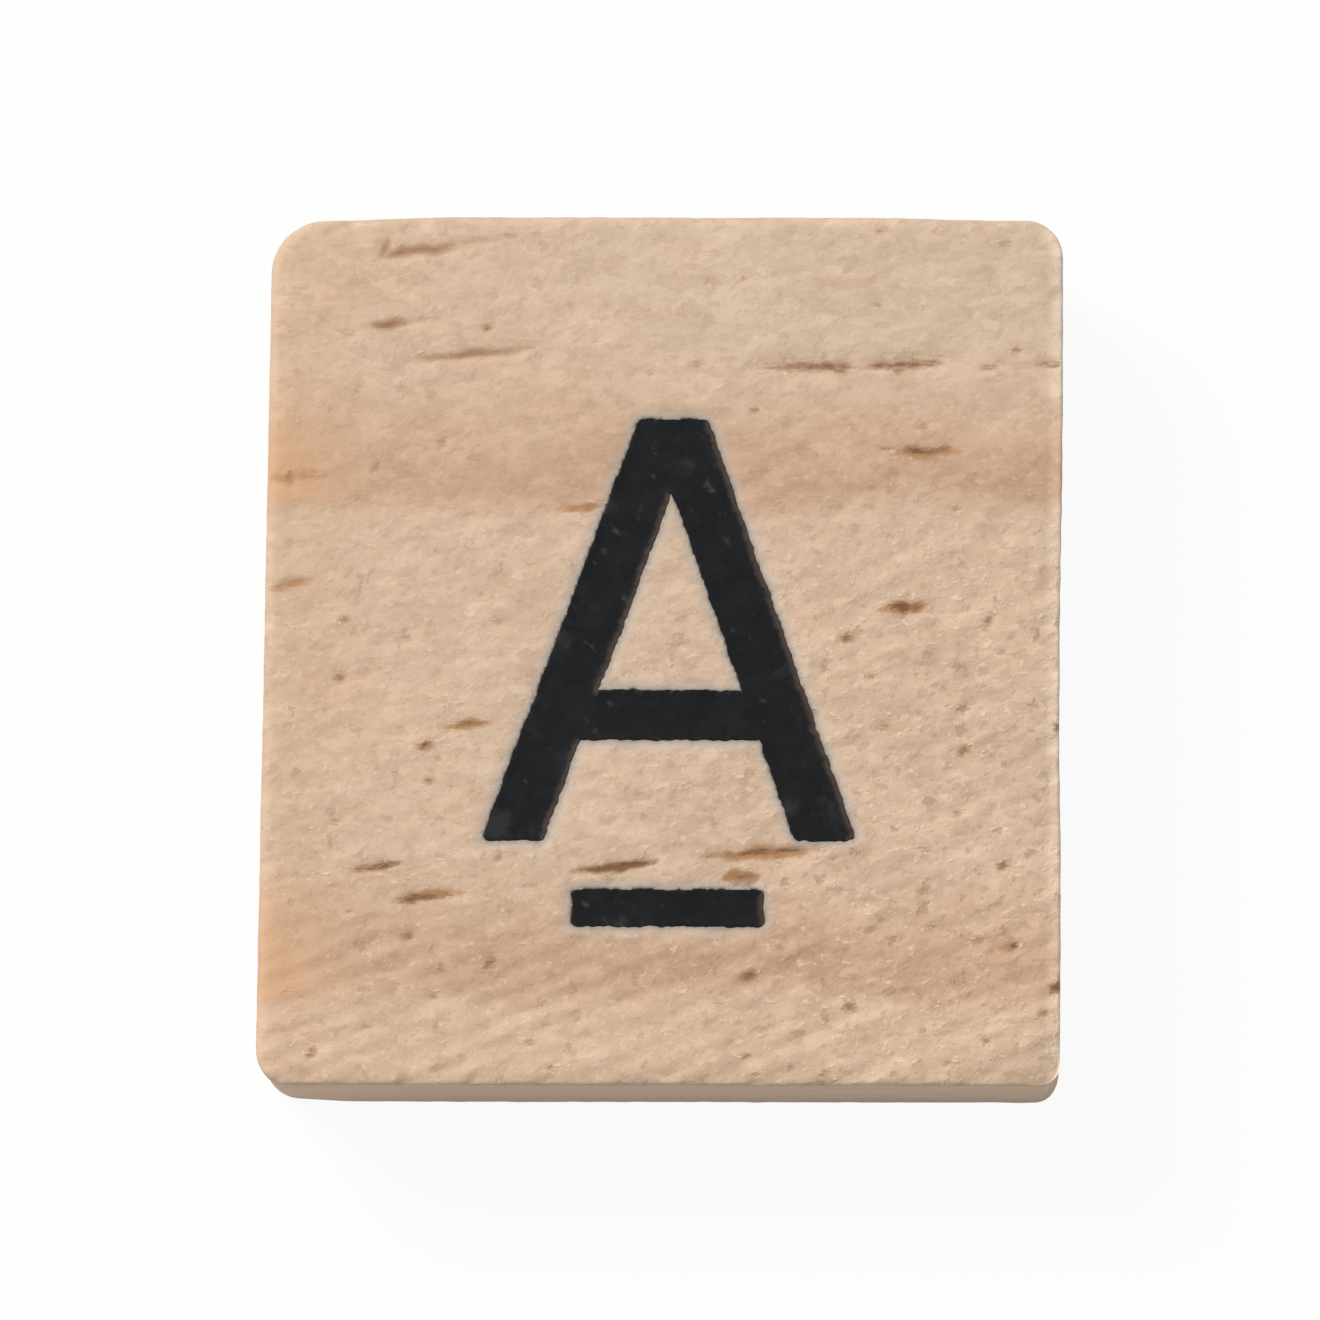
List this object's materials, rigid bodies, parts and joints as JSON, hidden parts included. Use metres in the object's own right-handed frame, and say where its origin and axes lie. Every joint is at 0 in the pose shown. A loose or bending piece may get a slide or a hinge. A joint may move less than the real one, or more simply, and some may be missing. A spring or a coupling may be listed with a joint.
{
  "type": "letter tile",
  "caption": "Small sanded softwood tile with rounded corners and a capital letter stamped in black ink on its face, for word building and craft work.",
  "frame": {"origin": "middle of the block's underside", "axes": "+Z out of the printed face, +Y to the head of the letter, +X to the right of the letter as it is read"},
  "size_m": [0.0184, 0.02, 0.005],
  "materials": {
    "softwood": "bare sanded pine",
    "stamp_ink": "dried black stamping ink, satin"
  },
  "bodies": {
    "root": {"wood_block": "softwood", "letter_ink": "stamp_ink", "bar_ink": "stamp_ink"}
  },
  "joints": []
}
